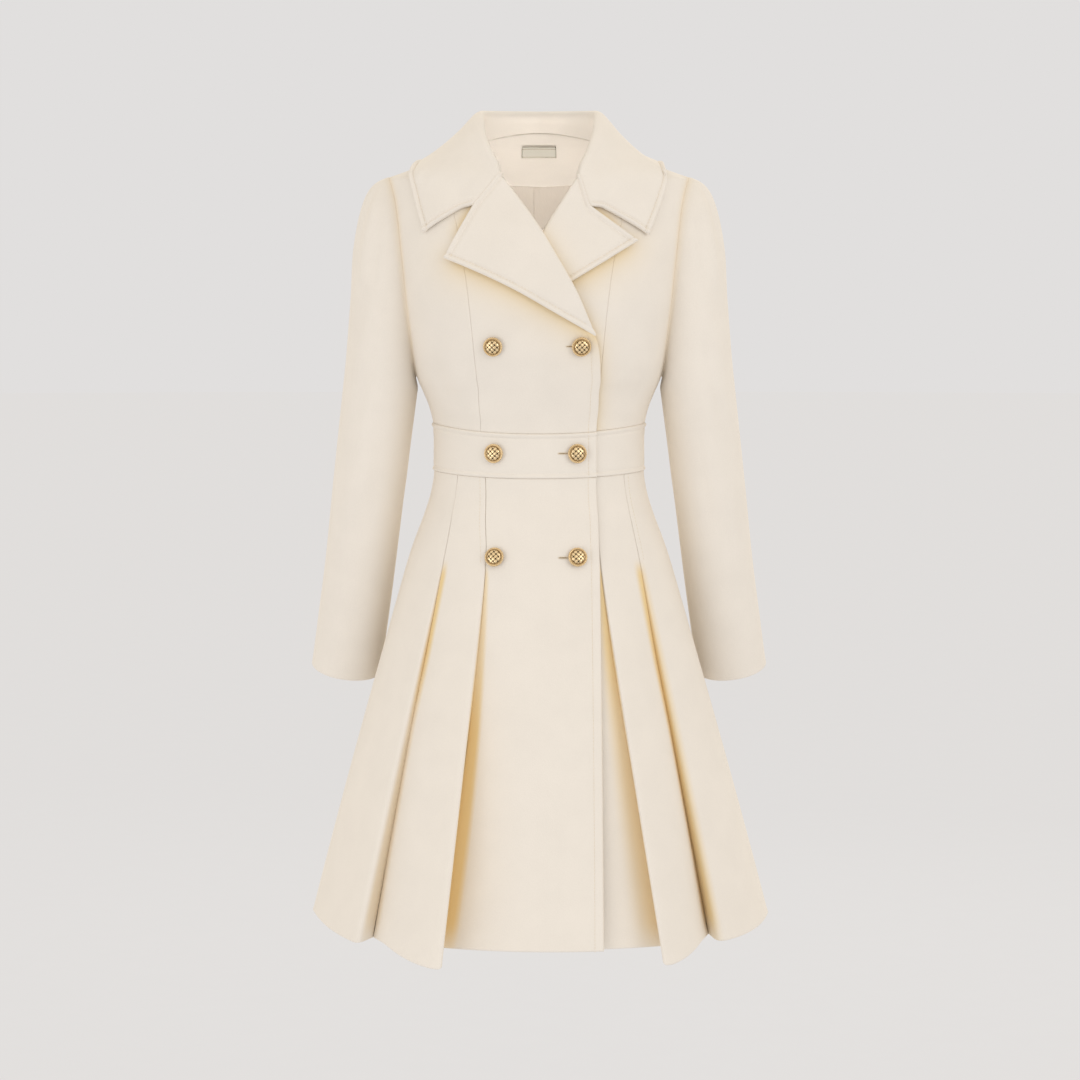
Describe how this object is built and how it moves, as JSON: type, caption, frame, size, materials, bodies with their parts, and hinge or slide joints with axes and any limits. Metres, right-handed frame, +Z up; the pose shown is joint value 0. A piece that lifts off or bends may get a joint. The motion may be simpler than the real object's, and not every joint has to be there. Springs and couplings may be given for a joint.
{
  "type": "double-breasted coat",
  "caption": "Hollow, filled-out wool princess coat with a notched collar and lapels, seamed bodice, set-in sleeves, raised waistband, pleated flared skirt and domed metal buttons.",
  "frame": {"origin": "midway between the shoulder tips, at their height, where the wearer's shoulders carry the coat", "axes": "+Z up along the body, -Y towards the front of the coat, +X towards the wearer's left"},
  "size_m": [0.5562, 0.49, 0.9837],
  "materials": {
    "wool_coating": "felted matte wool coating",
    "satin_lining": "smooth satin lining",
    "label_tape": "woven tape",
    "gold_metal": "polished gold-coloured metal with dark hollows"
  },
  "bodies": {
    "root": {"bodice_right_front": "wool_coating", "bodice_right_side_front": "wool_coating", "bodice_right_back": "wool_coating", "bodice_left_front": "wool_coating", "bodice_left_side_front": "wool_coating", "bodice_left_back": "wool_coating", "waistband_right_front": "wool_coating", "waistband_left_front": "wool_coating", "waistband_back": "wool_coating", "skirt_right_centre": "wool_coating", "skirt_right_middle": "wool_coating", "skirt_right_side": "wool_coating", "skirt_left_centre": "wool_coating", "skirt_left_middle": "wool_coating", "skirt_left_side": "wool_coating", "skirt_back_centre": "wool_coating", "skirt_back_right_middle": "wool_coating", "skirt_back_right_side": "wool_coating", "skirt_back_left_middle": "wool_coating", "skirt_back_left_side": "wool_coating", "right_top_sleeve": "wool_coating", "right_under_sleeve": "wool_coating", "left_top_sleeve": "wool_coating", "left_under_sleeve": "wool_coating", "collar": "wool_coating", "lapel_right": "wool_coating", "lapel_left": "wool_coating", "back_neck_facing": "wool_coating", "back_lining": "satin_lining", "neck_label": "label_tape", "button_top_outer": "gold_metal", "button_top_inner": "gold_metal", "button_waist_outer": "gold_metal", "button_waist_inner": "gold_metal", "button_skirt_outer": "gold_metal", "button_skirt_inner": "gold_metal"}
  },
  "joints": []
}
